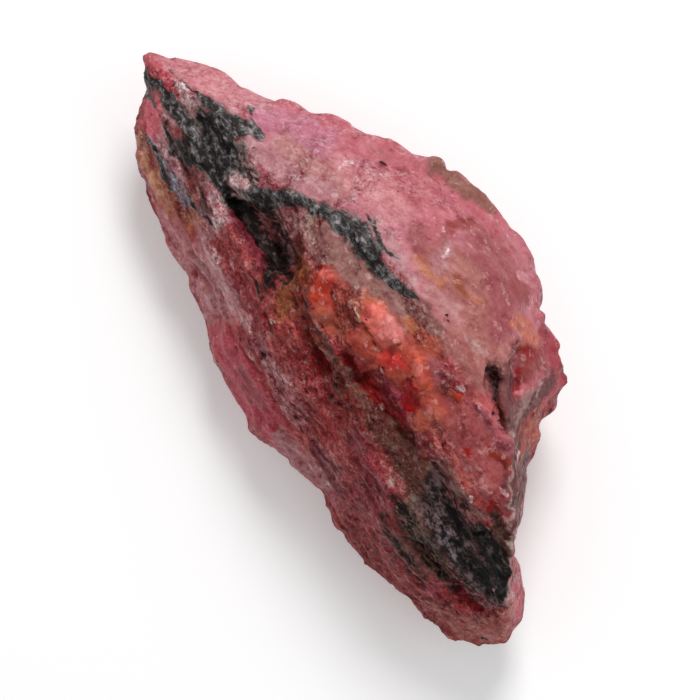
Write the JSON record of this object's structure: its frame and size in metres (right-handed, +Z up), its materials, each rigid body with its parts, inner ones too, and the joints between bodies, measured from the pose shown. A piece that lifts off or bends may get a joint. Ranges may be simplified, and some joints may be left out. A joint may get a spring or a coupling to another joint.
{
  "type": "rough rhodonite",
  "caption": "Rough chunk of rhodonite, long and wedge shaped, with a cleaved pink face, dark veins, a ledgy flank and coral crystal lumps.",
  "frame": {"origin": "centre of the bounding box at the flat fracture that the stone rests on", "axes": "+X from the sharp tip to the blunt end, +Y from the ledgy front flank to the cleaved back face, +Z up"},
  "size_m": [0.0608, 0.0292, 0.0213],
  "materials": {
    "rhodonite": "rough broken stone, waxy to glassy sheen, pink with black veins and coral and ochre stains"
  },
  "bodies": {
    "root": {"rhodonite": "rhodonite"}
  },
  "joints": []
}
